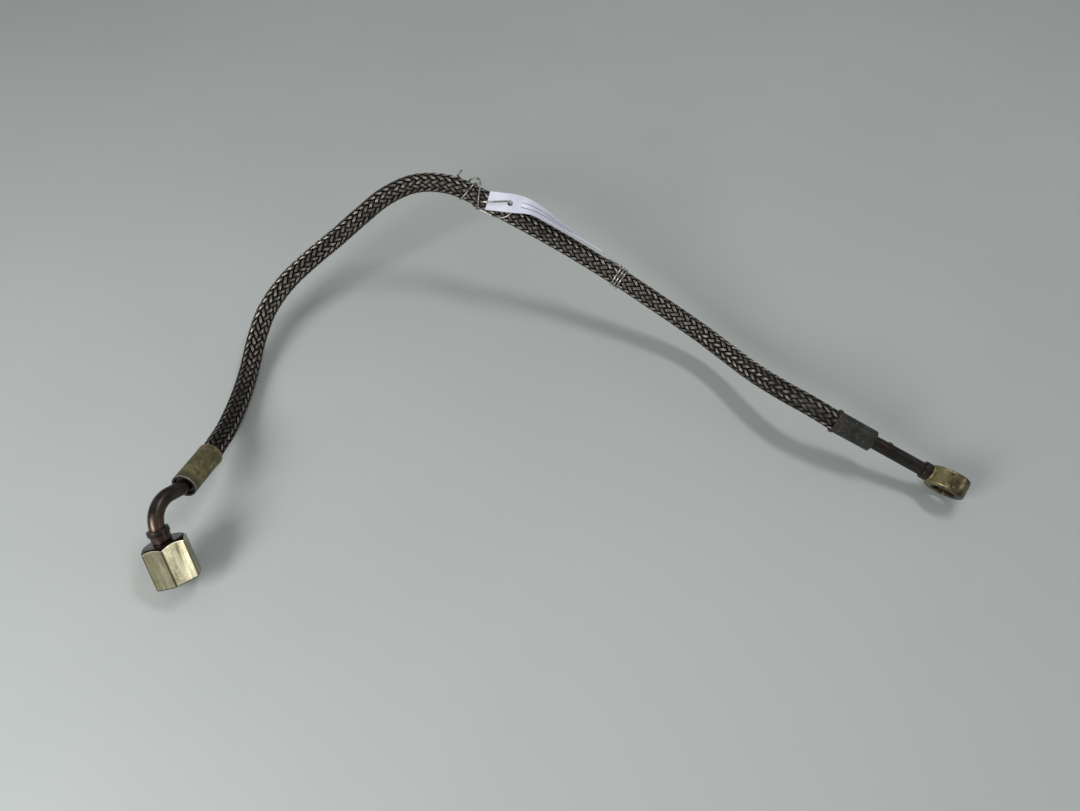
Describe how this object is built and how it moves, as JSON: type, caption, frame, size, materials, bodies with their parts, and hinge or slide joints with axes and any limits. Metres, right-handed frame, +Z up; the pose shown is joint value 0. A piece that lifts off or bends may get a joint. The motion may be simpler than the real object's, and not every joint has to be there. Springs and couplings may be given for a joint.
{
  "type": "braided fuel line",
  "caption": "Flexible wire-braided fuel line with a bent steel elbow and hexagon union nut at one end and a banjo eye on a stub tube at the other, lying as it came to rest.",
  "frame": {"origin": "centre of the underside of the box round the two end fittings, on the surface that the line lies on", "axes": "+X from the elbow end to the banjo end, +Y towards the arch of the hose, +Z up from the surface that the line lies on"},
  "size_m": [0.3382, 0.1957, 0.0612],
  "materials": {
    "pale_zinc": "yellow-passivated zinc, worn pale",
    "nipple_steel": "turned steel",
    "browned_steel": "heat-browned steel tube",
    "dark_steel": "dark steel",
    "yellow_zinc": "yellow-passivated zinc",
    "liner_rubber": "black rubber",
    "braid_wire": "galvanised wire braid, dulled",
    "rusty_steel": "rusted steel",
    "black_steel": "oily blackened steel",
    "eye_brass": "tarnished",
    "tie_wire": "soft galvanised wire",
    "tag_card": "laminated card"
  },
  "bodies": {
    "line": {"sealing_nipple": "nipple_steel", "nut_stop_collar": "browned_steel", "elbow_tube": "browned_steel", "elbow_insert": "dark_steel", "elbow_ferrule": "yellow_zinc", "hose_liner": "liner_rubber", "wire_braid": "braid_wire", "banjo_ferrule": "rusty_steel", "banjo_insert": "dark_steel", "stub_tube": "black_steel", "brazed_collar": "black_steel", "banjo_eye": "eye_brass", "tie_wire_upper": "tie_wire", "tie_wire_lower": "tie_wire", "stock_tag": "tag_card"},
    "nut": {"union_nut": "pale_zinc"}
  },
  "joints": [
    {"name": "nut_swivel", "type": "hinge", "parent": "line", "child": "nut", "pos_m": [-0.16101, -0.02794, 0.01847], "axis": [-0.327, 0.6095, 0.7222], "continuous": true}
  ]
}
